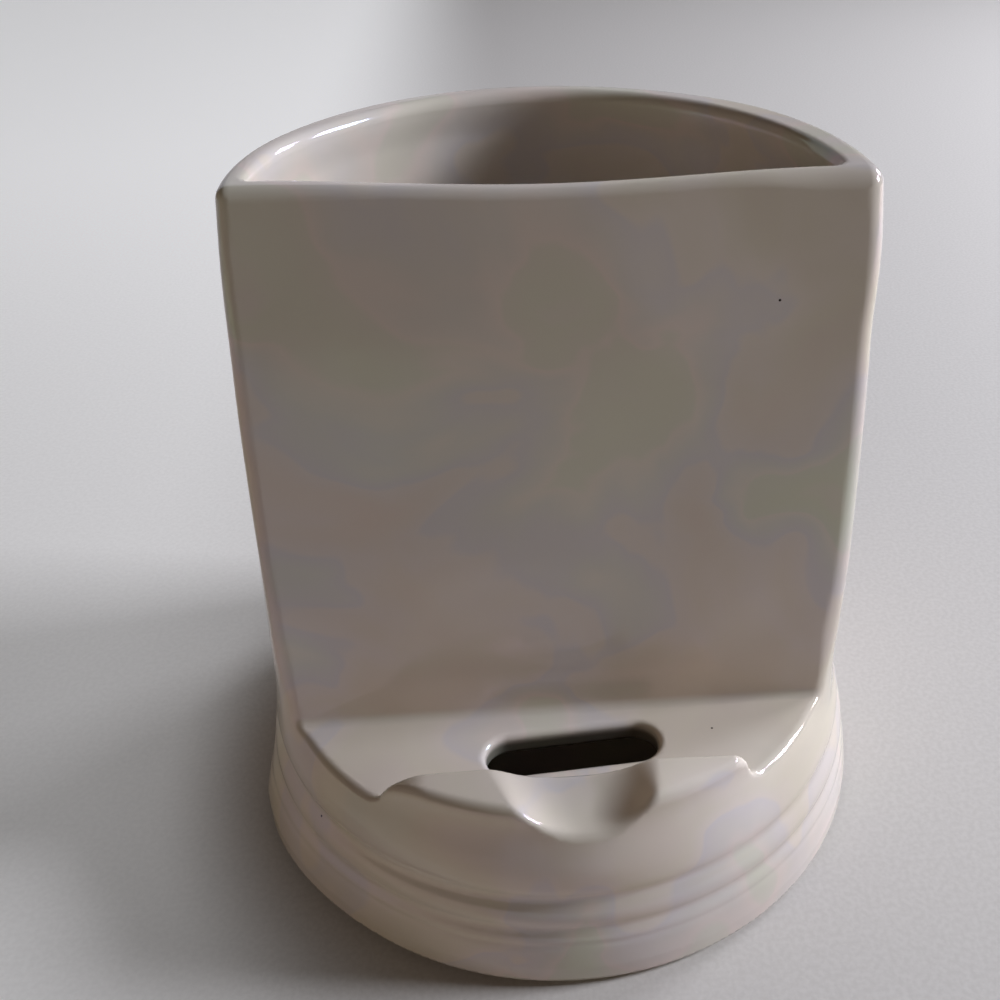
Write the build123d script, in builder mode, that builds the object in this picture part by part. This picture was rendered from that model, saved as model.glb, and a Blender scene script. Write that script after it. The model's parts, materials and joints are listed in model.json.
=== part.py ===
from build123d import *
import os

# Kitchen utensil crock with a tablet rest. A round pot of glazed ceramic has its front cut back to a
# leaning panel. Below the panel a flat ledge roofs the front of the base, with a slot for a charging
# cable, a raised lip that stops the tablet and a scoop in the lip. The base has two grooves round it,
# which leave three soft ribs, and the foot stands on four soft pads.
# Millimetres. X is to the right of someone facing the panel, Y points away from them, Z is up.
# The origin is on the table under the middle of the round base.

# Overall sizes
total_height = 175.0
base_radius = 85.0
wall = 6.5
ledge_height = 42.2

# Ribbed base: three soft ribs with two grooves between them, placed from the ledge and the base's radius
foot_bevel = 1.5
lower_groove_drop = 26.7
lower_groove_inset = 2.6
upper_groove_drop = 13.7
upper_groove_inset = 4.7
rib_end_drop = 3.7
rib_end_inset = 5.4
rib_rise = 0.6
upper_rib_rise = 0.25

# Round wall above the ribs: a straight cone that turns inwards at the neck, below the rim
cone_head_drop = 57.0
cone_head_inset = 9.3
neck_drop = 22.0
rim_inset = 13.4

# Panel that the tablet leans on, and the trough between its foot and the lip
panel_head = 6.2
trough_depth = 25.9
panel_foot_rounding = 2.0

# Raised lip: its depth from the front of the base, its rise above the ledge and its sloped ends
lip_depth = 25.7
lip_rise = 7.8
lip_end_inset = 5.4
lip_end_run = 6.2
lip_end_rounding = 4.0
lip_back_rounding = 2.0
lip_foot_rounding = 1.5

# Scoop across the lip: a round cut that falls outwards and runs a little off square, as cut by hand
scoop_radius = 26.0
scoop_depth = 3.6
scoop_offset = -2.7
scoop_fall = 9.5
scoop_turn = 17.0
scoop_rounding = 12.0

# Cable slot through the ledge, also a little off square
slot_length = 44.0
slot_width = 12.4
slot_offset = 0.7
slot_to_lip = 12.1
slot_turn = 4.3
slot_rounding = 1.6

# Rounded edges of the round wall and of the rim, and the sag of the rim above the panel
wall_edge_rounding = 2.4
outer_rim_rounding = min(2.2, 0.35 * wall)
inner_rim_rounding = min(3.0, 0.5 * wall)
rim_sag = 2.0
rim_sag_inset = 7.3
rim_sag_fall = 2.0

# Hollow inside
hollow_corner_rounding = 4.0
hollow_floor_bevel = 5.0

# Foot: a bare ring round a shallow recess, with four pads stuck to the ring
foot_ring_width = 12.0
foot_recess = 2.0
foot_recess_taper = 30.0
pad_radius = 4.5
pad_thickness = 1.2
pad_bevel = 0.3

# Helper sizes of the cutting shapes: how far they reach past the pot, and how deep they start
reach = 15.0
lip_root = 5.0
scoop_run_in = 12.0
tolerance = 0.02

# Heights and radii that follow from the sizes above
foot_height = pad_thickness
foot_ring_outer = base_radius - foot_bevel
foot_ring_inner = foot_ring_outer - foot_ring_width
lower_groove = (base_radius - lower_groove_inset, ledge_height - lower_groove_drop)
upper_groove = (base_radius - upper_groove_inset, ledge_height - upper_groove_drop)
cone_foot = (base_radius - rib_end_inset, ledge_height - rib_end_drop)
cone_head = (base_radius - cone_head_inset, total_height - cone_head_drop)
cone_slope = (cone_foot[0] - cone_head[0]) / (cone_head[1] - cone_foot[1])
ledge_wall_radius = cone_foot[0] - rib_end_drop * cone_slope
rim_radius = base_radius - rim_inset
rim = (rim_radius, total_height)

# The arc below the neck runs smoothly from the cone into the straight rim
neck_arc_rise = cone_head_drop - neck_drop
neck_pull = 2 * cone_head[0] / neck_arc_rise - cone_slope + rim_radius / neck_drop
neck = (neck_pull / (2 / neck_arc_rise + 1 / neck_drop), total_height - neck_drop)

# Hollow, cutting heights and the foot's corner
foot_side = (base_radius, foot_height + foot_bevel)
hollow_floor_height = foot_height + foot_recess + wall
hollow_slope = (upper_groove[0] - rim_radius) / (total_height - upper_groove[1])
hollow_rim_radius = rim_radius - wall
hollow_floor_radius = hollow_rim_radius + (total_height - hollow_floor_height) * hollow_slope
hollow_bevel_radius = hollow_floor_radius - hollow_floor_bevel * hollow_slope
shoulder_height = ledge_height - wall
far_top = total_height + reach
far_front = base_radius + reach

# Lip, slot, panel and sag, placed from the front of the base
lip_back = base_radius - lip_depth
lip_top = ledge_height + lip_rise
lip_half_foot = (ledge_wall_radius**2 - lip_back**2) ** 0.5 - lip_end_inset
lip_half_top = lip_half_foot - lip_end_run
lip_half_root = lip_half_foot + lip_end_run * lip_root / lip_rise
slot_distance = lip_back - slot_to_lip
panel_foot = lip_back - trough_depth
panel_lean = (panel_foot - panel_head) / (total_height - ledge_height)
panel_thickness = wall * (1 + panel_lean**2) ** 0.5
rim_sag_half_width = (rim_radius**2 - panel_head**2) ** 0.5 - rim_sag_inset
rim_sag_radius = (rim_sag_half_width**2 + rim_sag**2) / (2 * rim_sag)
rim_lowest = total_height - 2 * rim_sag


def panel_at(height):
    """Distance of the panel's face in front of the axis at a height."""
    return panel_foot - (height - ledge_height) * panel_lean


def bulge(start, end, rise):
    """Point that stands a given rise outside the middle of a rib."""
    return ((start[0] + end[0]) / 2 + rise, (start[1] + end[1]) / 2)


def spots(edge):
    """Three points along an edge, clear of its ends."""
    return [edge @ share for share in (0.1, 0.5, 0.9)]


def level_at(height):
    """Test for edges that run level at a height."""
    return lambda edge: all(abs(spot.Z - height) < tolerance for spot in spots(edge))


def lying_on(faces):
    """Test for edges that lie on the given faces."""

    def nearest(spot):
        return min(face.distance_to(spot) for face in faces)

    return lambda edge: all(nearest(spot) < tolerance for spot in spots(edge))


# Lip: a bar with sloped ends that runs down into the ledge, with the scoop across it
with BuildPart() as lip:
    with BuildSketch(Plane.XZ.offset(lip_back)) as lip_front:
        with BuildLine():
            Polyline(
                (-lip_half_root, ledge_height - lip_root),
                (-lip_half_top, lip_top),
                (lip_half_top, lip_top),
                (lip_half_root, ledge_height - lip_root),
                close=True,
            )
        make_face()
        fillet(lip_front.vertices().group_by(Axis.Y)[-1], lip_end_rounding)
    extrude(amount=lip_depth)
    scoop_plane = Plane(
        origin=(scoop_offset, -lip_back, lip_top),
        x_dir=Vector(1, 0, 0).rotate(Axis.Z, scoop_turn),
        z_dir=Vector(0, -1, 0).rotate(Axis.X, scoop_fall).rotate(Axis.Z, scoop_turn),
    )
    with BuildSketch(scoop_plane.offset(-scoop_run_in)):
        with Locations((0, scoop_radius - scoop_depth)):
            Circle(scoop_radius)
    extrude(amount=scoop_run_in + far_front, mode=Mode.SUBTRACT)
    scoop_sides = lip.edges(Select.LAST).filter_by(level_at(lip_top))
    fillet(scoop_sides.filter_by(GeomType.LINE, reverse=True), scoop_rounding)
    back_edges = lip.edges().filter_by_position(Axis.Y, -lip_back - tolerance, -lip_back + tolerance)
    back_edges = back_edges.filter_by_position(Axis.Z, ledge_height - lip_root + tolerance, lip_top)
    fillet(back_edges, lip_back_rounding)

# Space in front of the panel and above the ledge, with the lip left standing in it
with BuildPart() as front_space:
    with BuildSketch(Plane.YZ):
        with BuildLine():
            Polyline(
                (-panel_foot, ledge_height),
                (-panel_at(far_top), far_top),
                (-far_front, far_top),
                (-far_front, ledge_height),
                close=True,
            )
        make_face()
    extrude(amount=far_front, both=True)
    level_edges = front_space.edges().filter_by(Axis.X)
    fillet(level_edges.sort_by_distance((0, -panel_foot, ledge_height))[0], panel_foot_rounding)
    add(lip.part, mode=Mode.SUBTRACT)
    lip_feet = front_space.edges().filter_by(level_at(ledge_height))
    lip_feet = lip_feet.filter_by_position(Axis.X, -lip_half_foot, lip_half_foot)
    lip_feet = lip_feet.filter_by_position(Axis.Y, -far_front, tolerance - lip_back + lip_back_rounding)
    fillet(lip_feet, lip_foot_rounding)

# Hollow inside: a plain cone one wall's thickness in at the rim and at the upper groove, cut off one
# wall's thickness behind the panel and below the ledge. It reaches on upwards past the rim.
with BuildPart() as hollow:
    with BuildSketch(Plane.YZ):
        with BuildLine():
            Polyline(
                (0, hollow_floor_height),
                (hollow_floor_radius - hollow_floor_bevel, hollow_floor_height),
                (hollow_bevel_radius, hollow_floor_height + hollow_floor_bevel),
                (hollow_rim_radius - reach * hollow_slope, far_top),
                (0, far_top),
                close=True,
            )
        make_face()
    revolve(axis=Axis.Z)
    with BuildSketch(Plane.YZ):
        with BuildLine():
            Polyline(
                (panel_thickness - panel_at(shoulder_height), shoulder_height),
                (panel_thickness - panel_at(far_top), far_top),
                (-far_front, far_top),
                (-far_front, shoulder_height),
                close=True,
            )
        make_face()
    extrude(amount=far_front, both=True, mode=Mode.SUBTRACT)
    rising_edges = hollow.edges().filter_by(lambda edge: abs(edge.tangent_at(0.5).Z) > 0.5)
    fillet(rising_edges.filter_by_position(Axis.Y, -base_radius, -tolerance), hollow_corner_rounding)

# Crock: one casting
with BuildPart() as crock_body:
    with BuildSketch(Plane.YZ):
        with BuildLine():
            Polyline((0, foot_height), (foot_ring_outer, foot_height), foot_side)
            ThreePointArc(foot_side, bulge(foot_side, lower_groove, rib_rise), lower_groove)
            ThreePointArc(lower_groove, bulge(lower_groove, upper_groove, rib_rise), upper_groove)
            ThreePointArc(upper_groove, bulge(upper_groove, cone_foot, upper_rib_rise), cone_foot)
            cone = Line(cone_foot, cone_head)
            TangentArc(cone_head, neck, tangent=cone % 1)
            Line(neck, rim)
            Polyline(rim, (0, total_height), (0, foot_height))
        make_face()
    revolve(axis=Axis.Z)
    wall_faces = crock_body.faces()
    add(front_space.part, mode=Mode.SUBTRACT)

    # Edge between the round wall and all that was cut from its front, from rim to rim
    cut_edges = crock_body.edges().filter_by(lying_on(wall_faces))
    cut_edges = cut_edges.filter_by(lying_on(front_space.faces()))
    cut_edges = cut_edges.filter_by_position(Axis.Z, ledge_height - tolerance, total_height - rim_sag)
    fillet(cut_edges, wall_edge_rounding)

    # Sagging rim above the panel, and the rim's outer edge
    side_faces = crock_body.faces().filter_by(lambda face: face.center().Z < total_height - tolerance)
    sag_plane = Plane(
        origin=(0, -panel_head, total_height),
        x_dir=(1, 0, 0),
        z_dir=Vector(0, -1, 0).rotate(Axis.X, rim_sag_fall),
    )
    with BuildSketch(sag_plane):
        with Locations((0, rim_sag_radius - rim_sag)):
            Circle(rim_sag_radius)
    extrude(amount=reach, both=True, mode=Mode.SUBTRACT)
    rim_edges = crock_body.edges().filter_by_position(Axis.Z, rim_lowest, total_height + tolerance)
    fillet(rim_edges.filter_by(lying_on(side_faces)), outer_rim_rounding)

    # Hollow and the rim's inner edge
    hollow_sides = hollow.faces().filter_by(lambda face: face.center().Z < total_height - tolerance)
    add(hollow.part, mode=Mode.SUBTRACT)
    rim_edges = crock_body.edges().filter_by_position(Axis.Z, rim_lowest, total_height + tolerance)
    fillet(rim_edges.filter_by(lying_on(hollow_sides)), inner_rim_rounding)

    # Cable slot through the ledge
    with BuildSketch(Plane.XY.offset(ledge_height)):
        with Locations((slot_offset, -slot_distance)):
            SlotOverall(slot_length, slot_width, rotation=slot_turn)
    extrude(amount=-2 * wall, mode=Mode.SUBTRACT)
    fillet(crock_body.edges(Select.LAST).filter_by(level_at(ledge_height)), slot_rounding)

    # Recess inside the foot ring
    with BuildSketch(Plane.XY.offset(foot_height)):
        Circle(foot_ring_inner)
    extrude(amount=foot_recess, taper=foot_recess_taper, mode=Mode.SUBTRACT)

crock_body.part.label = "crock_body"

# Four round foot pads on the middle of the foot ring
foot_pads = []
for name, angle in (
    ("foot_pad_back_right", 45),
    ("foot_pad_back_left", 135),
    ("foot_pad_front_left", 225),
    ("foot_pad_front_right", 315),
):
    with BuildPart() as foot_pad:
        with BuildSketch(Plane.XY):
            with PolarLocations((foot_ring_outer + foot_ring_inner) / 2, 1, start_angle=angle):
                Circle(pad_radius)
        extrude(amount=pad_thickness)
        chamfer(foot_pad.edges().group_by(Axis.Z)[0], pad_bevel)
    foot_pad.part.label = name
    foot_pads.append(foot_pad.part)

os.makedirs("parts", exist_ok=True)
for piece in [crock_body.part] + foot_pads:
    export_step(piece, f"parts/{piece.label}.step")
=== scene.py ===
import json
import math

import bpy
import numpy as np
from mathutils import Matrix, Vector


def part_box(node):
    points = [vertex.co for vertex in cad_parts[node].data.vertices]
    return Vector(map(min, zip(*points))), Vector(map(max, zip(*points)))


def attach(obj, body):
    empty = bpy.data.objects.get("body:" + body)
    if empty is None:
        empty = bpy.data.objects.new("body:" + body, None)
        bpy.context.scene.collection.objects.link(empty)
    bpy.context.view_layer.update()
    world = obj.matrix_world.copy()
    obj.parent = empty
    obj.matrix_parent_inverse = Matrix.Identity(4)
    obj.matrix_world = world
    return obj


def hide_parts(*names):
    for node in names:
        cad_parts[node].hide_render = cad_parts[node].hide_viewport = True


# Utensil crock with a tablet rest: one casting in a pearl glaze on four soft pads.
# The crock's skin is worked out in millimetres as the zero level of a rounded distance field,
# and every mesh is written in metres. X points right, Y to the back and Z up.
# Where a value is a pair of sides, the left one comes first. A run is a pair too: a change
# starts at its first value and is complete at its second.

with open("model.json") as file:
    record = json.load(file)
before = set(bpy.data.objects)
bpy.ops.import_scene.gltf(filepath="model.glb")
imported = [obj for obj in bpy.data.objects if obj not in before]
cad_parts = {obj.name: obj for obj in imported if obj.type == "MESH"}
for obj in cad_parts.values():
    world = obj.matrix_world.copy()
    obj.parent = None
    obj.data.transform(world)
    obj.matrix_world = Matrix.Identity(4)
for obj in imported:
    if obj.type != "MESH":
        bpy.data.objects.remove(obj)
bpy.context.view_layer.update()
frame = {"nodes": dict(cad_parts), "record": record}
MM = 0.001

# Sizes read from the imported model, in millimetres
crock_low, crock_high = (np.array(corner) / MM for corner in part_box("crock_body"))
mounts = {mount["name"]: mount for mount in frame["record"]["mounts"]}
TOTAL_HEIGHT = crock_high[2]
FOOT_HEIGHT = crock_low[2]
LEDGE_HEIGHT = mounts["tablet_ledge"]["pos_m"][2] / MM
PANEL_POINT = np.array(mounts["tablet_panel"]["pos_m"]) / MM
PANEL_NORMAL = np.array(mounts["tablet_panel"]["axis"])

# Round wall: a cone given by two heights and radii, with its radii at the foot and at the rim
BASE_RADIUS = 85.0
CONE_FOOT_HEIGHT = 57.0
CONE_FOOT_RADIUS = 78.4
CONE_HEAD_HEIGHT = 112.0
CONE_HEAD_RADIUS = 76.0
RIM_RADIUS = 71.6
WALL = 6.5

# The base flares below the cone, with a soft start
FLARE_HEIGHTS = (46.0, 6.0)
FLARE_SOFTNESS = 0.8

# Grooves of the base: height of the middle, depth and half width, and how steep their sides are
GROOVES = ((26.0, 1.4, 3.4), (17.4, 0.9, 2.6), (13.2, 0.22, 1.3))
GROOVE_STEEPNESS = 1.6
FOOT_ROUNDING = 1.0

# The casting's unevenness near its front corners: they stand out towards the rim, outside and in
# the hollow, and once more just below it
SPREAD_START = 85.0
SPREAD_RUNS = ((50.0, 20.0), (72.0, 42.0))
SPREAD_SIDE = 40.0
CORNER_SPREAD = (0.8, 2.2)
HOLLOW_SPREAD = (2.0, -0.4)
CORNER_FLARE = (0.5, 1.8)
CORNER_FLARE_HEIGHTS = (134.0, 162.0)
CORNER_FLARE_RUN = (35.0, -15.0)

# The panel's right side draws in between the ledge and the spread
CORNER_DRAW = 1.8
CORNER_DRAW_SIDE = 50.0
CORNER_DRAW_RUN = (20.0, -25.0)
CORNER_DRAW_FOOT = (36.0, 26.0)

# The front of the base leans in towards the edge of the ledge and of the lip
FRONT_LEAN = 3.3
FRONT_LEAN_HEIGHTS = (33.0, 47.0)
FRONT_LEAN_RUN = (-26.0, -40.0)

# The foot stands out a little at the front left
FOOT_BULGE = 2.2
FOOT_BULGE_HEIGHTS = (24.0, 6.0)
FOOT_BULGE_START = (-8.0, -24.0)
FOOT_BULGE_END = (-72.0, -32.0)
FOOT_BULGE_SIDE = 30.0

# Roundings of the panel and the ledge. The panel's sides change from one to the other over its
# width, and run from the ledge's rounding above the ledge and into the corners' below the rim
PANEL_FOOT_ROUNDING = 1.8
PANEL_EDGE_ROUNDING = (2.6, 3.6)
PANEL_EDGE_WIDTH = 40.0
PANEL_EDGE_RISES = (6.0, 22.0)
PANEL_EDGE_DROPS = (30.0, 5.0)
LEDGE_EDGE_ROUNDING = 1.7

# Lip: its back, its rise, how far from the middle its ends begin and reach the top, its arch along
# its length, its crown outwards, and its roundings
LIP_BACK = 59.3
LIP_RISE = 7.8
LIP_HALF_FOOT = (51.2, 48.6)
LIP_HALF_TOP = (35.0, 38.5)
LIP_END_FULLNESS = (0.70, 1.0)
LIP_ARCH = 0.9
LIP_CROWN = 0.3
LIP_CROWN_WIDTH = 12.0
LIP_BACK_ROUNDING = 1.4
LIP_FOOT_ROUNDING = 1.5
LIP_TURN_ROUNDING = 2.6
LIP_TURN_START = 1.0
LIP_TURN_WIDTH = 6.0

# Scoop across the lip: its depth and half width, how much narrower it gets outwards, its fall and
# turn, how full its section is, and its roundings, the outer one up to a share of its half width
SCOOP_DEPTH = 3.6
SCOOP_HALF_WIDTH = 19.0
SCOOP_NARROWING = 0.24
SCOOP_OFFSET = -0.4
SCOOP_FALL = math.radians(9.5)
SCOOP_TURN = math.radians(10.4)
SCOOP_FULLNESS = 2.6
SCOOP_BLEND = 1.8
SCOOP_EDGE_ROUNDING = 1.7
SCOOP_EDGE_START = 0.75
SCOOP_EDGE_WIDTH = 0.35

# Cable slot
SLOT_LENGTH = 43.8
SLOT_WIDTH = 12.2
SLOT_MIDDLE = (0.7, -47.2)
SLOT_TURN = math.radians(4.3)
SLOT_ROUNDING = 1.8
SLOT_LOWEST = 24.0

# Rim: its sag above the panel, and its outer and inner rounding
RIM_SAG = 2.0
RIM_SAG_HALF_WIDTH = 66.0
RIM_SAG_RUN = (4.0, 26.0)
OUTER_RIM_ROUNDING = 2.4
INNER_RIM_ROUNDING = 3.3

# Front corners of the rim: roundings beside and on top, and the thin left corner's inner rounding.
# They start at a distance from the middle and are complete a width further out
CORNER_ROUNDING = (2.9, 4.4)
CORNER_TOP_ROUNDING = (2.5, 3.8)
CORNER_START = 40.0
CORNER_WIDTH = 25.0
CORNER_TOP_RUN = (30.0, -4.0)
THIN_CORNER_ROUNDING = 2.2
THIN_CORNER_START = 42.0
THIN_CORNER_WIDTH = 20.0
THIN_CORNER_RUN = (30.0, 0.0)

# Hollow, with a slight bead below the rim
RIM_BEAD = 0.8
RIM_BEAD_DROPS = (12.0, 4.0)
HOLLOW_CORNER_ROUNDING = 1.5
HOLLOW_SHOULDER_ROUNDING = 4.0
HOLLOW_FLOOR_HEIGHT = 9.7
HOLLOW_FLOOR_ROUNDING = 8.0

# Underside
FOOT_RING_INNER = 71.5
FOOT_RECESS = 2.0
FOOT_RECESS_ROUNDING = 1.2

# The wall and the lip's top slope, so their fields are scaled back to true distances
WALL_SCALE = 0.99
LIP_SCALE = 0.93

# Mesh of the crock: rounds of settling on the surface come after the net and after the thinning
PITCH = 1.0
TRIANGLES = 190_000
GRADIENT_STEP = 0.02
LEAST_STEEPNESS = 0.1
NET_ROUNDS = 3
MESH_ROUNDS = 2
PINHOLE_ROUNDS = 6


def smooth(share):
    """Smooth step from 0 to 1."""
    share = np.clip(share, 0.0, 1.0)
    return share * share * (3.0 - 2.0 * share)


def faded(value, start, end):
    """Smooth share of the way from a start to an end."""
    return smooth((value - start) / (end - start))


def by_side(x, pair):
    """Left or right value of a pair."""
    return np.where(x > 0, pair[1], pair[0])


def common(a, b, rounding):
    """Field of what two solids share, with its edge rounded to a radius."""
    over_a = np.maximum(a + rounding, 0.0)
    over_b = np.maximum(b + rounding, 0.0)
    return np.minimum(np.maximum(a, b), -rounding) + np.sqrt(over_a**2 + over_b**2)


def joined(a, b, rounding):
    """Field of two solids together, with the hollow edge between them rounded to a radius."""
    return -common(-a, -b, rounding)


def soft_low(a, b, blend):
    """Lower of two heights, blended where they are close."""
    share = np.clip(0.5 + 0.5 * (b - a) / blend, 0.0, 1.0)
    return b + (a - b) * share - blend * share * (1.0 - share)


def drum_radius(z):
    """Radius of the round wall at a height: a cone, drawn in at the rim, flared and grooved below."""
    slope = (CONE_HEAD_RADIUS - CONE_FOOT_RADIUS) / (CONE_HEAD_HEIGHT - CONE_FOOT_HEIGHT)
    radius = CONE_FOOT_RADIUS + (z - CONE_FOOT_HEIGHT) * slope
    rise = TOTAL_HEIGHT - CONE_HEAD_HEIGHT
    draw = RIM_RADIUS - (CONE_HEAD_RADIUS + slope * rise)
    radius = radius + draw * (np.maximum(z - CONE_HEAD_HEIGHT, 0.0) / rise) ** 2
    start, end = FLARE_HEIGHTS
    share = np.clip((start - z) / (start - end), 0.0, 1.0)
    flare = BASE_RADIUS - (CONE_FOOT_RADIUS - CONE_FOOT_HEIGHT * slope)
    radius = radius + flare * share * share * (1.0 + FLARE_SOFTNESS - FLARE_SOFTNESS * share)
    for height, depth, half_width in GROOVES:
        radius = radius - depth * np.exp(-(((z - height) / half_width) ** 2) * GROOVE_STEEPNESS)
    return radius


def spread(x, y, z, sides):
    """How far the wall stands out near the front corners of the rim."""
    aside = smooth(np.abs(x) / SPREAD_SIDE)
    rise = np.clip((z - SPREAD_START) / (TOTAL_HEIGHT - SPREAD_START), 0.0, 1.0)
    along = by_side(x, [faded(y, *run) for run in SPREAD_RUNS])
    flare = faded(z, *CORNER_FLARE_HEIGHTS) * faded(y, *CORNER_FLARE_RUN)
    return aside * (by_side(x, sides) * rise * along + by_side(x, CORNER_FLARE) * flare)


def front_lean(y, z):
    """How far the front of the base draws in under the edges of the ledge and the lip."""
    return FRONT_LEAN * faded(z, *FRONT_LEAN_HEIGHTS) * faded(y, *FRONT_LEAN_RUN)


def foot_bulge(x, y, z):
    """How far the foot stands out at the front left."""
    along = faded(y, *FOOT_BULGE_START) * faded(y, *FOOT_BULGE_END)
    return FOOT_BULGE * along * smooth(-x / FOOT_BULGE_SIDE) * faded(z, *FOOT_BULGE_HEIGHTS)


def right_draw(x, y, z):
    """How far the panel's right side draws in above the ledge."""
    height = faded(z, SPREAD_START, LEDGE_HEIGHT) * (1.0 - faded(z, *CORNER_DRAW_FOOT))
    return CORNER_DRAW * height * smooth(x / CORNER_DRAW_SIDE) * faded(y, *CORNER_DRAW_RUN)


def drum(x, y, z, inset=0.0, sides=CORNER_SPREAD):
    """Field of the round wall."""
    radius = drum_radius(z) + spread(x, y, z, sides)
    radius = radius - front_lean(y, z) - right_draw(x, y, z) + foot_bulge(x, y, z)
    return (np.hypot(x, y) - radius + inset) * WALL_SCALE


def panel(y, z, depth=0.0):
    """Field of the space behind the panel's face, or behind a plane that lies deeper."""
    return (y - PANEL_POINT[1]) * PANEL_NORMAL[1] + (z - PANEL_POINT[2]) * PANEL_NORMAL[2] + depth


def scoop_share(x, y):
    """How far across the scoop a place lies: 0 on its axis, 1 at its sides."""
    outwards = np.maximum(-LIP_BACK - y, 0.0)
    axis_x = SCOOP_OFFSET + outwards * math.tan(SCOOP_TURN)
    return (x - axis_x) / (SCOOP_HALF_WIDTH - SCOOP_NARROWING * outwards)


def lip_top(x, y):
    """Height of the lip's top: flat with S-shaped ends, a slight crown and the scoop across it."""
    half_foot = by_side(x, LIP_HALF_FOOT)
    half_top = by_side(x, LIP_HALF_TOP)
    share = np.clip((half_foot - np.abs(x)) / (half_foot - half_top), 0.0, 1.0)
    share = share ** by_side(x, LIP_END_FULLNESS)
    outwards = np.maximum(-LIP_BACK - y, 0.0)
    arch = (1.0 - np.minimum(np.abs(x) / half_foot, 1.0) ** 2) ** 2
    crown = LIP_CROWN * smooth(outwards / LIP_CROWN_WIDTH) + LIP_ARCH * arch
    top = LEDGE_HEIGHT + (LIP_RISE + crown) * smooth(share)
    depth = SCOOP_DEPTH + outwards * math.tan(SCOOP_FALL)
    rise = (depth + LIP_ARCH) * np.abs(scoop_share(x, y)) ** SCOOP_FULLNESS
    scoop = LEDGE_HEIGHT + LIP_RISE - depth + rise
    return soft_low(top, scoop, SCOOP_BLEND)


def slot(x, y, z):
    """Field of the cable slot, cut square through the ledge."""
    cosine, sine = math.cos(SLOT_TURN), math.sin(SLOT_TURN)
    along = (x - SLOT_MIDDLE[0]) * cosine + (y - SLOT_MIDDLE[1]) * sine
    aside = (y - SLOT_MIDDLE[1]) * cosine - (x - SLOT_MIDDLE[0]) * sine
    beyond = np.maximum(np.abs(along) - (SLOT_LENGTH - SLOT_WIDTH) / 2, 0.0)
    flat = np.hypot(beyond, aside) - SLOT_WIDTH / 2
    return np.maximum(flat, SLOT_LOWEST - z)


def rim_height(x, y):
    """Height of the rim, which sags above the panel."""
    sag = RIM_SAG * np.cos(np.clip(x / RIM_SAG_HALF_WIDTH, -1.0, 1.0) * math.pi / 2) ** 2
    return TOTAL_HEIGHT - sag * (1.0 - faded(y, *RIM_SAG_RUN))


def corner_share(x):
    """0 in the middle of the rim, 1 at its front corners."""
    return smooth((np.abs(x) - CORNER_START) / CORNER_WIDTH)


def edge_rounding(x, y, z):
    """Rounding of the edge between the round wall and what is cut from its front."""
    start, end = PANEL_EDGE_RISES
    above = faded(z, LEDGE_HEIGHT + start, LEDGE_HEIGHT + end)
    below = 1.0 - above
    lip = smooth((-y - LIP_BACK - LIP_TURN_START) / LIP_TURN_WIDTH) * below
    ledge = below - lip
    left, right = PANEL_EDGE_ROUNDING
    side = left + (right - left) * smooth(x / PANEL_EDGE_WIDTH + 0.5)
    rim = OUTER_RIM_ROUNDING + (by_side(x, CORNER_ROUNDING) - OUTER_RIM_ROUNDING) * corner_share(x)
    start, end = PANEL_EDGE_DROPS
    side = side + (rim - side) * faded(z, TOTAL_HEIGHT - start, TOTAL_HEIGHT - end)
    scoop = 1.0 - smooth((np.abs(scoop_share(x, y)) - SCOOP_EDGE_START) / SCOOP_EDGE_WIDTH)
    turn = LIP_TURN_ROUNDING + (SCOOP_EDGE_ROUNDING - LIP_TURN_ROUNDING) * scoop
    return side * above + LEDGE_EDGE_ROUNDING * ledge + turn * lip


def rim_roundings(x, y):
    """Outer and inner rounding of the rim, with fuller corners outside and a sharp left one inside."""
    corner = corner_share(x) * faded(y, *CORNER_TOP_RUN)
    outer = OUTER_RIM_ROUNDING + (by_side(x, CORNER_TOP_ROUNDING) - OUTER_RIM_ROUNDING) * corner
    thin = smooth((-x - THIN_CORNER_START) / THIN_CORNER_WIDTH) * faded(y, *THIN_CORNER_RUN)
    inner = INNER_RIM_ROUNDING + (THIN_CORNER_ROUNDING - INNER_RIM_ROUNDING) * thin
    return outer, inner


def hollow_field(x, y, z):
    """Field of the hollow, which reaches under the ledge."""
    roof = joined(panel(y, z, WALL), z - LEDGE_HEIGHT + WALL, HOLLOW_SHOULDER_ROUNDING)
    start, end = RIM_BEAD_DROPS
    bead = RIM_BEAD * faded(z, TOTAL_HEIGHT - start, TOTAL_HEIGHT - end)
    hollow = common(drum(x, y, z, WALL + bead, HOLLOW_SPREAD), roof, HOLLOW_CORNER_ROUNDING)
    return common(hollow, HOLLOW_FLOOR_HEIGHT - z, HOLLOW_FLOOR_ROUNDING)


def crock(x, y, z):
    """Field of the whole crock: negative inside the ceramic, in millimetres from the surface."""
    front = joined(panel(y, z), z - LEDGE_HEIGHT, PANEL_FOOT_ROUNDING)
    lip = common(y + LIP_BACK, (z - lip_top(x, y)) * LIP_SCALE, LIP_BACK_ROUNDING)
    front = joined(front, lip, LIP_FOOT_ROUNDING)
    outer_rim, inner_rim = rim_roundings(x, y)
    outer = common(drum(x, y, z), z - rim_height(x, y), outer_rim)
    outer = common(outer, front, edge_rounding(x, y, z))
    outer = common(outer, FOOT_HEIGHT - z, FOOT_ROUNDING)
    body = common(outer, -hollow_field(x, y, z), inner_rim)
    body = common(body, -slot(x, y, z), SLOT_ROUNDING)
    recess = common(np.hypot(x, y) - FOOT_RING_INNER, z - FOOT_HEIGHT - FOOT_RECESS, FOOT_RECESS_ROUNDING)
    return common(body, -recess, FOOT_RECESS_ROUNDING)


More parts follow.
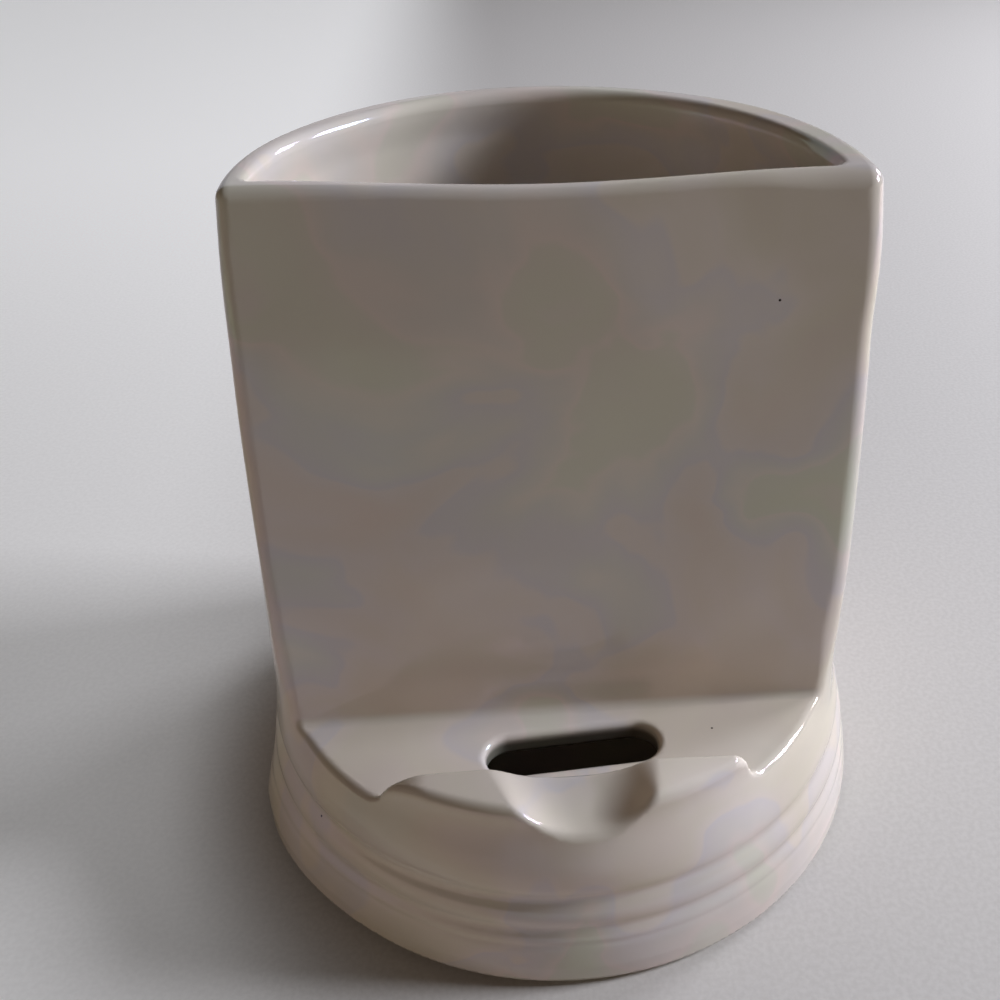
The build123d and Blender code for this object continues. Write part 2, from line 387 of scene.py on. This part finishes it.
def slope_of(field, points):
    """Gradient of a field at points."""
    rows = []
    for axis in range(3):
        step = np.zeros(3)
        step[axis] = GRADIENT_STEP
        ahead, behind = points + step, points - step
        rows.append((field(*ahead.T) - field(*behind.T)) / (2 * GRADIENT_STEP))
    return np.stack(rows, axis=1)


def settle(field, points, rounds):
    """Moves points onto the zero level of a field."""
    for _ in range(rounds):
        slope = slope_of(field, points)
        steepness = np.maximum((slope**2).sum(axis=1), LEAST_STEEPNESS)
        points = points - slope * (field(*points.T) / steepness)[:, None]
    return points


def net_vertices(values, where):
    """Vertices of crossed cells, in cells: the mean of the places where the surface cuts their edges."""
    total = np.zeros((len(where[0]), 3))
    hits = np.zeros(len(where[0]))
    for start in [(a, b, c) for a in (0, 1) for b in (0, 1) for c in (0, 1)]:
        for axis in range(3):
            if start[axis] == 1:
                continue
            end = list(start)
            end[axis] = 1
            first = values[tuple(where[i] + start[i] for i in range(3))]
            second = values[tuple(where[i] + end[i] for i in range(3))]
            crossed = (first < 0) != (second < 0)
            share = np.where(crossed, first / np.where(crossed, first - second, 1.0), 0.0)
            spot = np.array(start, float) + np.outer(share, np.array(end) - np.array(start))
            total += spot * crossed[:, None]
            hits += crossed
    return np.stack(where, axis=1) + total / hits[:, None]


def net_quads(inside, number):
    """One quad for each grid edge that the surface crosses, from the numbers of the cells around it."""
    quads = []
    for axis in range(3):
        one, two = (axis + 1) % 3, (axis + 2) % 3
        here = [slice(None)] * 3
        ahead = [slice(None)] * 3
        here[axis], ahead[axis] = slice(0, -1), slice(1, None)
        leaves = inside[tuple(here)] & ~inside[tuple(ahead)]
        enters = ~inside[tuple(here)] & inside[tuple(ahead)]
        for change, turned in ((leaves, False), (enters, True)):
            at = np.array(np.nonzero(change))
            ring = []
            for back_one, back_two in ((1, 1), (0, 1), (0, 0), (1, 0)):
                cell = at.copy()
                cell[one] -= back_one
                cell[two] -= back_two
                ring.append(number[tuple(cell)])
            quad = np.stack(ring, axis=1)
            quads.append(quad[:, ::-1] if turned else quad)
    return np.concatenate(quads)


def surface_net(field, low, high, pitch):
    """Vertices and quads of a field's zero level, one vertex in each cell that the surface crosses."""
    axes = [np.arange(low[i] - 2 * pitch, high[i] + 2 * pitch, pitch) for i in range(3)]
    values = field(*np.meshgrid(*axes, indexing="ij", sparse=True)).astype(np.float32)
    inside = values < 0
    cells = [n - 1 for n in values.shape]
    count = np.zeros(cells, np.int8)
    for a, b, c in [(a, b, c) for a in (0, 1) for b in (0, 1) for c in (0, 1)]:
        count += inside[a:a + cells[0], b:b + cells[1], c:c + cells[2]]
    where = np.nonzero((count > 0) & (count < 8))
    number = np.full(cells, -1, np.int64)
    number[where] = np.arange(len(where[0]))
    spots = net_vertices(values, where)
    return spots * pitch + np.array([axis[0] for axis in axes]), net_quads(inside, number)


def mesh_from(name, vertices, faces):
    """Mesh object from arrays, in metres."""
    mesh = bpy.data.meshes.new(name)
    mesh.from_pydata([tuple(v) for v in vertices], [], [tuple(int(i) for i in f) for f in faces])
    mesh.validate()
    piece = bpy.data.objects.new(name, mesh)
    bpy.context.scene.collection.objects.link(piece)
    return piece


def vertices_of(mesh):
    """Vertex places of a mesh as an array."""
    places = np.zeros(len(mesh.vertices) * 3)
    mesh.vertices.foreach_get("co", places)
    return places.reshape(-1, 3)


def applied(piece):
    """Replaces a piece's mesh by the mesh that its modifiers give."""
    graph = bpy.context.evaluated_depsgraph_get()
    mesh = bpy.data.meshes.new_from_object(piece.evaluated_get(graph))
    piece.modifiers.clear()
    piece.data = mesh
    return mesh


def make_crock():
    """The casting, with shading normals taken from its field."""
    points, quads = surface_net(crock, crock_low, crock_high, PITCH)
    points = settle(crock, points, NET_ROUNDS)
    piece = mesh_from("crock", points * MM, quads)
    thin = piece.modifiers.new("fewer_faces", "DECIMATE")
    thin.ratio = min(1.0, TRIANGLES / (2 * len(quads)))
    mesh = applied(piece)
    points = settle(crock, vertices_of(mesh) / MM, MESH_ROUNDS)
    mesh.vertices.foreach_set("co", (points * MM).ravel())
    slope = slope_of(crock, points)
    normals = slope / np.linalg.norm(slope, axis=1)[:, None]
    mesh.polygons.foreach_set("use_smooth", np.ones(len(mesh.polygons), bool))
    mesh.normals_split_custom_set_from_vertices([tuple(n) for n in normals])
    mesh.update()
    return piece


# Tints of the pearl glaze, from shade to light, and where they lie on the clouds
CLOUD_TINTS = (
    (0.30, (0.755, 0.648, 0.560)),
    (0.40, (0.772, 0.684, 0.562)),
    (0.455, (0.797, 0.697, 0.600)),
    (0.47, (0.742, 0.668, 0.626)),
    (0.52, (0.764, 0.682, 0.606)),
    (0.56, (0.830, 0.703, 0.618)),
    (0.575, (0.774, 0.697, 0.586)),
    (0.64, (0.762, 0.706, 0.578)),
    (0.70, (0.806, 0.694, 0.634)),
)

# Shades that the tints are multiplied with, and where they lie on a slower noise
SHADES = (
    (0.36, (0.87, 0.86, 0.84)),
    (0.47, (0.935, 0.925, 0.905)),
    (0.525, (1.0, 1.0, 1.0)),
    (0.66, (1.04, 1.03, 1.04)),
)

# Noises of the glaze as scale, detail and roughness, and the scale and reach that push them about
CLOUD_NOISE = (17.0, 3.0, 0.45)
CLOUD_WARP = (11.0, 0.09)
SHADE_NOISE = (9.0, 2.0, 0.4)
SHADE_WARP = (7.0, 0.12)
HAZE_NOISE = (45.0, 3.0)
WAVE_NOISE = (55.0, 2.0)

# Gloss: least roughness and what haze adds, a matt roughness, the pearl film's least thickness and
# what the clouds add, in nanometres, and the height of the waves in metres
GLOSS_ROUGHNESS = 0.05
HAZE_ROUGHNESS = 0.08
MATT_ROUGHNESS = 0.85
FILM_THICKNESS = 180.0
FILM_GROWTH = 420.0
FILM_IOR = 1.58
GLAZE_IOR = 1.5
WAVE_HEIGHT = 0.0006
WAVE_STRENGTH = 0.25

# Bare clay shows under the foot
BARE_CLAY = (0.70, 0.62, 0.52, 1)
BARE_HEIGHT = 0.05

# Small flaws of the glaze: places in millimetres and radius
PINHOLES = (
    ((51.9, -11.9, 146.9), 0.32),
    ((36.8, -43.4, 42.2), 0.28),
    ((-63.6, -48.3, 24.4), 0.32),
)
PINHOLE_TINT = (0.035, 0.025, 0.018, 1)

# Painted shade: a dark, matt tint on the walls of the slot, in the cavity under the ledge and on the
# hollow's floor, where they lie deep in shade
PAINTED_SHADE_TINT = (0.15, 0.125, 0.09, 1)
SLOT_SHADE_RUN = (42.0, 39.0)
HOLLOW_FLOOR_SHADE_RUN = (17.0, 10.5)
PAINTED_SHADE_RADIUS = 73.5
SLOT_SHADE_BACK = -26.0
PAINTED_SHADE_LOWEST = 6.0

# Pads of soft rubber
RUBBER_TINTS = ((0.56, 0.55, 0.53, 1), (0.66, 0.65, 0.63, 1))
RUBBER_GRAIN = 900.0
RUBBER_ROUGHNESS = 0.7


def new_material(name):
    """Empty node material with its nodes and links."""
    material = bpy.data.materials.new(name)
    material.use_nodes = True
    return material, material.node_tree.nodes, material.node_tree.links


def math_node(nodes, links, operation, *values):
    """Math node fed by numbers or by other nodes' outputs."""
    node = nodes.new("ShaderNodeMath")
    node.operation = operation
    for place, value in enumerate(values):
        if isinstance(value, (int, float)):
            node.inputs[place].default_value = value
        else:
            links.new(value, node.inputs[place])
    return node.outputs[0]


def noise_node(nodes, links, place, scale, detail=2.0, roughness=0.5):
    """Noise texture at a place in the object's own space."""
    node = nodes.new("ShaderNodeTexNoise")
    node.inputs["Scale"].default_value = scale
    node.inputs["Detail"].default_value = detail
    node.inputs["Roughness"].default_value = roughness
    links.new(place, node.inputs["Vector"])
    return node


def ramp_node(nodes, links, value, stops):
    """Colour ramp through stops of position and colour."""
    node = nodes.new("ShaderNodeValToRGB")
    elements = node.color_ramp.elements
    elements[0].position, elements[0].color = stops[0][0], (*stops[0][1], 1)
    elements[1].position, elements[1].color = stops[-1][0], (*stops[-1][1], 1)
    for position, colour in stops[1:-1]:
        elements.new(position).color = (*colour, 1)
    links.new(value, node.inputs["Fac"])
    return node.outputs["Color"]


def mix_node(nodes, links, share, one, two, blend="MIX"):
    """Mix of two colours."""
    node = nodes.new("ShaderNodeMix")
    node.data_type = "RGBA"
    node.blend_type = blend
    for socket, value in ((node.inputs["Factor"], share), (node.inputs[6], one), (node.inputs[7], two)):
        if isinstance(value, (int, float, tuple)):
            socket.default_value = value
        else:
            links.new(value, socket)
    return node.outputs[2]


def warped_place(nodes, links, place, scale, reach):
    """Object place pushed about by a slow noise, for clouds with drawn-out edges."""
    warp = noise_node(nodes, links, place, scale)
    bend = nodes.new("ShaderNodeVectorMath")
    bend.operation = "MULTIPLY_ADD"
    bend.inputs[1].default_value = (reach, reach, reach)
    links.new(warp.outputs["Color"], bend.inputs[0])
    links.new(place, bend.inputs[2])
    return bend.outputs["Vector"]


def pinhole_mask(nodes, links, place):
    """1 on the small dark pinholes, 0 elsewhere."""
    mask = None
    spots = settle(crock, np.array([spot for spot, _ in PINHOLES]), PINHOLE_ROUNDS)
    for spot, radius in zip(spots, [radius for _, radius in PINHOLES]):
        away = nodes.new("ShaderNodeVectorMath")
        away.operation = "DISTANCE"
        links.new(place, away.inputs[0])
        away.inputs[1].default_value = tuple(value * MM for value in spot)
        near = math_node(nodes, links, "LESS_THAN", away.outputs["Value"], radius * MM)
        mask = near if mask is None else math_node(nodes, links, "MAXIMUM", mask, near)
    return mask


def fade_node(nodes, links, value, run, results=(0.0, 1.0)):
    """Smooth change between two results along a run of values in metres."""
    fade = nodes.new("ShaderNodeMapRange")
    fade.interpolation_type = "SMOOTHSTEP"
    fade.inputs["From Min"].default_value, fade.inputs["From Max"].default_value = run
    fade.inputs["To Min"].default_value, fade.inputs["To Max"].default_value = results
    links.new(value, fade.inputs["Value"])
    return fade.outputs["Result"]


def split_node(nodes, links, place):
    """X, Y and Z of a place."""
    node = nodes.new("ShaderNodeSeparateXYZ")
    links.new(place, node.inputs[0])
    return node


def reach_node(nodes, links, place):
    """Distance of a split place from the crock's upright axis."""
    across = math_node(nodes, links, "MULTIPLY", place.outputs["X"], place.outputs["X"])
    along = math_node(nodes, links, "MULTIPLY", place.outputs["Y"], place.outputs["Y"])
    return math_node(nodes, links, "SQRT", math_node(nodes, links, "ADD", across, along))


def painted_shade_mask(nodes, links, place):
    """Painted shade: 1 on the hollow's floor and in the cavity under the ledge, fading to 0 up the walls.
    """
    height = place.outputs["Z"]
    slot_run, floor_run = ([end * MM for end in run] for run in (SLOT_SHADE_RUN, HOLLOW_FLOOR_SHADE_RUN))
    within = math_node(nodes, links, "LESS_THAN", reach_node(nodes, links, place), PAINTED_SHADE_RADIUS * MM)
    above = math_node(nodes, links, "GREATER_THAN", height, PAINTED_SHADE_LOWEST * MM)
    front = math_node(nodes, links, "LESS_THAN", place.outputs["Y"], SLOT_SHADE_BACK * MM)
    slot_shade = math_node(nodes, links, "MULTIPLY", fade_node(nodes, links, height, slot_run), front)
    painted_shade = math_node(nodes, links, "MAXIMUM", slot_shade, fade_node(nodes, links, height, floor_run))
    painted_shade = math_node(nodes, links, "MULTIPLY", painted_shade, within)
    return math_node(nodes, links, "MULTIPLY", painted_shade, above)


def make_glaze():
    """Pearl glaze: warm off-white with clouds of pink, lilac and yellow-green under a clear gloss, with
    painted shade in the slot, under the ledge and on the hollow's floor.
    """
    material, nodes, links = new_material("pearl_glaze")
    shader = nodes["Principled BSDF"]
    place = nodes.new("ShaderNodeTexCoord").outputs["Object"]

    drawn = warped_place(nodes, links, place, *CLOUD_WARP)
    clouds = noise_node(nodes, links, drawn, *CLOUD_NOISE).outputs["Fac"]
    drawn = warped_place(nodes, links, place, *SHADE_WARP)
    shades = noise_node(nodes, links, drawn, *SHADE_NOISE).outputs["Fac"]
    tint = ramp_node(nodes, links, clouds, CLOUD_TINTS)
    shade = ramp_node(nodes, links, shades, SHADES)
    colour = mix_node(nodes, links, 1.0, tint, shade, "MULTIPLY")
    colour = mix_node(nodes, links, pinhole_mask(nodes, links, place), colour, PINHOLE_TINT)

    parts = split_node(nodes, links, place)
    bare = math_node(nodes, links, "LESS_THAN", parts.outputs["Z"], (FOOT_HEIGHT + BARE_HEIGHT) * MM)
    # Painted shade: the slot, the cavity under the ledge and the hollow's floor are tinted dark and matt
    painted_shade = painted_shade_mask(nodes, links, parts)
    colour = mix_node(nodes, links, bare, colour, BARE_CLAY)
    colour = mix_node(nodes, links, painted_shade, colour, PAINTED_SHADE_TINT)
    links.new(colour, shader.inputs["Base Color"])

    haze = noise_node(nodes, links, place, *HAZE_NOISE).outputs["Fac"]
    gloss = math_node(nodes, links, "MULTIPLY_ADD", haze, HAZE_ROUGHNESS, GLOSS_ROUGHNESS)
    dull = math_node(nodes, links, "MAXIMUM", bare, painted_shade)
    matt = math_node(nodes, links, "MULTIPLY", dull, MATT_ROUGHNESS)
    links.new(math_node(nodes, links, "MAXIMUM", gloss, matt), shader.inputs["Roughness"])

    film = math_node(nodes, links, "MULTIPLY_ADD", clouds, FILM_GROWTH, FILM_THICKNESS)
    links.new(film, shader.inputs["Thin Film Thickness"])
    shader.inputs["Thin Film IOR"].default_value = FILM_IOR
    shader.inputs["IOR"].default_value = GLAZE_IOR

    waves = noise_node(nodes, links, place, *WAVE_NOISE).outputs["Fac"]
    bump = nodes.new("ShaderNodeBump")
    bump.inputs["Strength"].default_value = WAVE_STRENGTH
    bump.inputs["Distance"].default_value = WAVE_HEIGHT
    links.new(waves, bump.inputs["Height"])
    links.new(bump.outputs["Normal"], shader.inputs["Normal"])
    return material


def make_rubber():
    """Matt soft rubber with a fine grain."""
    material, nodes, links = new_material("pad_rubber")
    shader = nodes["Principled BSDF"]
    place = nodes.new("ShaderNodeTexCoord").outputs["Object"]
    grain = noise_node(nodes, links, place, RUBBER_GRAIN).outputs["Fac"]
    tint = nodes.new("ShaderNodeValToRGB")
    for element, colour in zip(tint.color_ramp.elements, RUBBER_TINTS):
        element.color = colour
    links.new(grain, tint.inputs["Fac"])
    links.new(tint.outputs["Color"], shader.inputs["Base Color"])
    shader.inputs["Roughness"].default_value = RUBBER_ROUGHNESS
    return material


# Floor and backdrop, in metres: half width, front end, where it turns up, radius and steps of the
# turn, and height of the wall
FLOOR_HALF = 2.4
FLOOR_FRONT = -2.0
FLOOR_TURN = 1.6
FLOOR_BEND = 0.35
FLOOR_BEND_STEPS = 12
BACKDROP_TOP = 1.8

# Cloth on them: its two shades, its grain, and the lift that the camera and gloss see, which grows
# towards the back and the left and is small near the crock's foot: painted light over the crock's
# shadow on the left, and painted shade around its foot
FLOOR_COLOUR = (0.665, 0.615, 0.565)
FLOOR_SHADE = (0.615, 0.565, 0.515)
GRAIN_SCALE = 700.0
GRAIN_STOPS = (0.35, 0.65)
CLOTH_ROUGHNESS = 0.9
LIFT_COLOUR = (0.95, 0.97, 1.0, 1)
FLOOR_LIFT = 0.235
BACKDROP_LIFT = 0.42
BACKDROP_LIFT_RUN = (0.0, 0.6)
# Painted light over the crock's shadow on the floor to the left, and painted shade around its foot where
# the lift stays small
SIDE_LIFT_RUN = (0.005, -0.16)
SIDE_LIFT_LEAST = 0.03
FOOT_LIFT_RUN = (0.083, 0.12)
FOOT_LIFT_LEAST = 0.1

# Lamps in metres and watts: the two panes of a window and a faint fill that gloss doesn't mirror
LAMP_AIM = (0.0, 0.0, 0.1)
PANES = (((1.42, 0.04, 0.78), 25.5), ((1.25, 0.80, 0.70), 11.0))
PANE_SIZE = 0.42
PANE_COLOUR = (0.90, 0.965, 1.10)
FILL_PLACE = (-1.2, -0.60, 0.30)
FILL_SIZE = 0.6
FILL_POWER = 2.2
FILL_COLOUR = (1.0, 0.86, 0.71)
ROOM_COLOUR = (0.016, 0.011, 0.008, 1)

# Camera: place in millimetres, angles in radians, focal length and middle of the view in pixels
CAMERA_PLACE = Vector((-13.01, -250.48, 259.84)) * MM
CAMERA_YAW = 0.07975
CAMERA_PITCH = 0.58297
CAMERA_ROLL = 0.00288
FOCAL_PIXELS = 1150.0
MIDDLE_PIXEL = (582.1, 472.0)
FRAME_PIXELS = 1000.0
SENSOR = 36.0
NEAREST_SEEN = 0.01


def make_floor():
    """Plain pale floor that curves up into a backdrop."""
    profile = [(FLOOR_FRONT, 0.0), (FLOOR_TURN, 0.0)]
    for step in range(1, FLOOR_BEND_STEPS + 1):
        angle = math.radians(90) * step / FLOOR_BEND_STEPS
        profile.append((FLOOR_TURN + FLOOR_BEND * math.sin(angle), FLOOR_BEND * (1 - math.cos(angle))))
    profile.append((FLOOR_TURN + FLOOR_BEND, BACKDROP_TOP))
    vertices = [(side * FLOOR_HALF, y, z) for y, z in profile for side in (-1, 1)]
    faces = [(2 * i, 2 * i + 1, 2 * i + 3, 2 * i + 2) for i in range(len(profile) - 1)]
    floor = mesh_from("floor", vertices, faces)
    for face in floor.data.polygons:
        face.use_smooth = True
    floor.data.materials.append(make_cloth())


def make_cloth():
    """Pale cloth with a fine grain, lifted for the camera and for gloss, with painted light to the left
    and painted shade near the crock's foot.
    """
    material, nodes, links = new_material("floor_cloth")
    shader = nodes["Principled BSDF"]
    place = nodes.new("ShaderNodeTexCoord").outputs["Object"]
    grain = noise_node(nodes, links, place, GRAIN_SCALE).outputs["Fac"]
    colour = ramp_node(nodes, links, grain, list(zip(GRAIN_STOPS, (FLOOR_SHADE, FLOOR_COLOUR))))
    links.new(colour, shader.inputs["Base Color"])
    shader.inputs["Roughness"].default_value = CLOTH_ROUGHNESS

    seen = nodes.new("ShaderNodeLightPath")
    lift = seen.outputs["Is Camera Ray"]
    for rays in ("Is Glossy Ray", "Is Transmission Ray"):
        lift = math_node(nodes, links, "MAXIMUM", lift, seen.outputs[rays])
    parts = split_node(nodes, links, place)
    # Painted light and shade on the floor: more lift to the left over the crock's shadow, less near its
    # foot
    fades = (
        (parts.outputs["Y"], BACKDROP_LIFT_RUN, (FLOOR_LIFT, BACKDROP_LIFT)),
        (parts.outputs["X"], SIDE_LIFT_RUN, (SIDE_LIFT_LEAST, 1.0)),
        (reach_node(nodes, links, parts), FOOT_LIFT_RUN, (FOOT_LIFT_LEAST, 1.0)),
    )
    for value, run, results in fades:
        lift = math_node(nodes, links, "MULTIPLY", lift, fade_node(nodes, links, value, run, results))
    links.new(lift, shader.inputs["Emission Strength"])
    shader.inputs["Emission Color"].default_value = LIFT_COLOUR
    return material


def make_lamp(name, place, size, power, colour, mirrored=True):
    """Square soft lamp that faces the crock, and that gloss mirrors or not."""
    lamp = bpy.data.lights.new(name, "AREA")
    lamp.size = size
    lamp.energy = power
    lamp.color = colour
    holder = bpy.data.objects.new(name, lamp)
    holder.location = place
    holder.rotation_euler = (Vector(LAMP_AIM) - Vector(place)).to_track_quat("-Z", "Y").to_euler()
    holder.visible_glossy = mirrored
    bpy.context.scene.collection.objects.link(holder)


def make_light():
    """A window of two panes on the right, a faint warm fill from the front left and a dark warm room."""
    for place, power in PANES:
        make_lamp("window_pane", place, PANE_SIZE, power, PANE_COLOUR)
    make_lamp("room_fill", FILL_PLACE, FILL_SIZE, FILL_POWER, FILL_COLOUR, mirrored=False)
    world = bpy.data.worlds.new("room")
    world.use_nodes = True
    world.node_tree.nodes["Background"].inputs["Color"].default_value = ROOM_COLOUR
    bpy.context.scene.world = world


def make_camera():
    """Camera at the photograph's place, in its 1000 pixel square frame."""
    cosine, sine = math.cos(CAMERA_PITCH), math.sin(CAMERA_PITCH)
    forward = Vector((math.sin(CAMERA_YAW) * cosine, math.cos(CAMERA_YAW) * cosine, -sine))
    level = Vector((math.cos(CAMERA_YAW), -math.sin(CAMERA_YAW), 0))
    down = forward.cross(level)
    right = level * math.cos(CAMERA_ROLL) + down * math.sin(CAMERA_ROLL)
    down = down * math.cos(CAMERA_ROLL) - level * math.sin(CAMERA_ROLL)
    lens = bpy.data.cameras.new("camera")
    lens.sensor_width = SENSOR
    lens.sensor_fit = "HORIZONTAL"
    lens.lens = SENSOR * FOCAL_PIXELS / FRAME_PIXELS
    lens.shift_x = (FRAME_PIXELS / 2 - MIDDLE_PIXEL[0]) / FRAME_PIXELS
    lens.shift_y = (MIDDLE_PIXEL[1] - FRAME_PIXELS / 2) / FRAME_PIXELS
    lens.clip_start = NEAREST_SEEN
    holder = bpy.data.objects.new("camera", lens)
    turn = Matrix((right, -down, -forward)).transposed().to_4x4()
    holder.matrix_world = Matrix.Translation(CAMERA_PLACE) @ turn
    bpy.context.scene.collection.objects.link(holder)
    bpy.context.scene.camera = holder


# Whole scene
glaze = make_glaze()
crock_piece = make_crock()
crock_piece.data.materials.append(glaze)
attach(crock_piece, "root")
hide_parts("crock_body")

rubber = make_rubber()
for name, node in frame["nodes"].items():
    if name.startswith("foot_pad"):
        node.data.materials.clear()
        node.data.materials.append(rubber)

make_floor()
make_light()
make_camera()
bpy.context.scene.view_settings.view_transform = "Standard"
